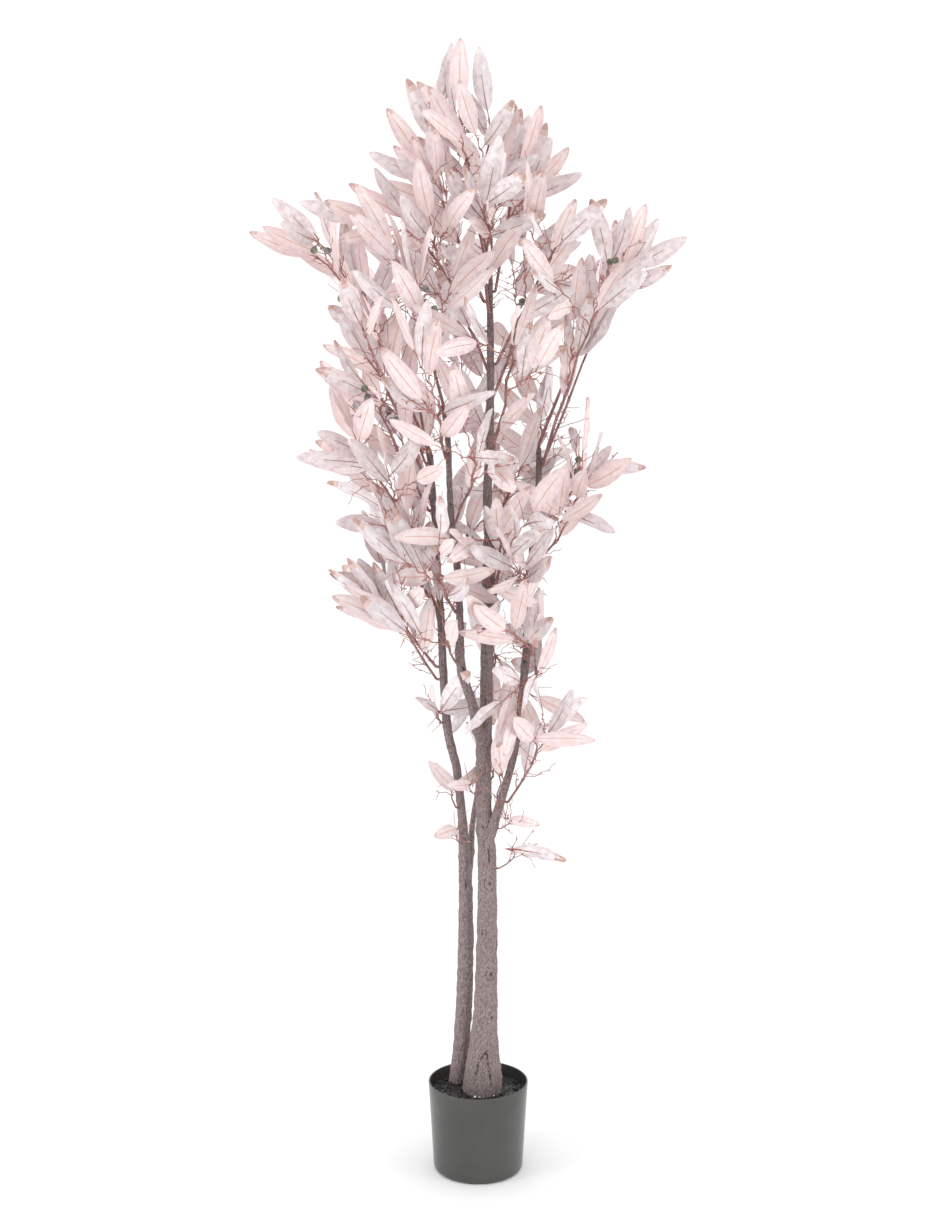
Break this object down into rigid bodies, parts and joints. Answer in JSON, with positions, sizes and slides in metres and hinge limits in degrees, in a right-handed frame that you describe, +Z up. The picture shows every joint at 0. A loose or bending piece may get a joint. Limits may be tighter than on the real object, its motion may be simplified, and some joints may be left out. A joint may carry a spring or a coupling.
{
  "type": "potted artificial eucalyptus tree",
  "caption": "Slim artificial eucalyptus tree with forked stems and blush pink fabric leaves, standing in a plain round dark pot.",
  "frame": {"origin": "centre of the pot's flat underside, on the ground", "axes": "+Z up along the trunks, +X to the right and +Y to the back as the tree is seen from its front"},
  "size_m": [0.6685, 0.5636, 1.796],
  "materials": {
    "pot": "satin moulded plastic, dark warm grey",
    "fill": "cast weight topped with black crumb",
    "bark": "rough sprayed bark texture, mauve grey brown",
    "foliage": "printed polyester leaves on moulded twigs, blush pink"
  },
  "bodies": {
    "root": {"pot": "pot", "fill": "fill", "main_trunk": "bark", "left_trunk": "bark", "centre_bough": "bark", "right_bough": "bark", "back_bough": "bark", "spray_top": "foliage", "spray_crest": "foliage", "spray_top_right": "foliage", "spray_top_left": "foliage", "spray_top_front": "foliage", "spray_top_back": "foliage", "spray_high_left": "foliage", "spray_high_right": "foliage", "spray_high_back_left": "foliage", "spray_high_back_right": "foliage", "spray_front_high": "foliage", "spray_right_top": "foliage", "spray_right_crest": "foliage", "spray_right_front": "foliage", "spray_right_back": "foliage", "spray_right_side": "foliage", "spray_right_mid": "foliage", "spray_right_inner": "foliage", "spray_right_back_low": "foliage", "spray_right_low": "foliage", "spray_right_outer": "foliage", "spray_right_lowest": "foliage", "spray_right_near": "foliage", "spray_left_top": "foliage", "spray_left_crest": "foliage", "spray_left_top_back": "foliage", "spray_left_front_high": "foliage", "spray_left_side": "foliage", "spray_left_back": "foliage", "spray_left_mid": "foliage", "spray_left_front": "foliage", "spray_left_back_low": "foliage", "spray_left_low": "foliage", "spray_left_lowest": "foliage", "spray_centre_top": "foliage", "spray_centre_front": "foliage", "spray_centre_right": "foliage", "spray_centre_low": "foliage", "spray_centre_lowest": "foliage", "spray_back_top": "foliage", "spray_back_right": "foliage", "spray_back_left": "foliage", "spray_back_low": "foliage", "spray_fork_left": "foliage", "spray_fork_front": "foliage", "spray_fork_near": "foliage", "spray_fork_mid": "foliage", "spray_fork_right": "foliage", "spray_fork_right_low": "foliage", "spray_fork_low": "foliage", "spray_fork_back": "foliage"}
  },
  "joints": []
}
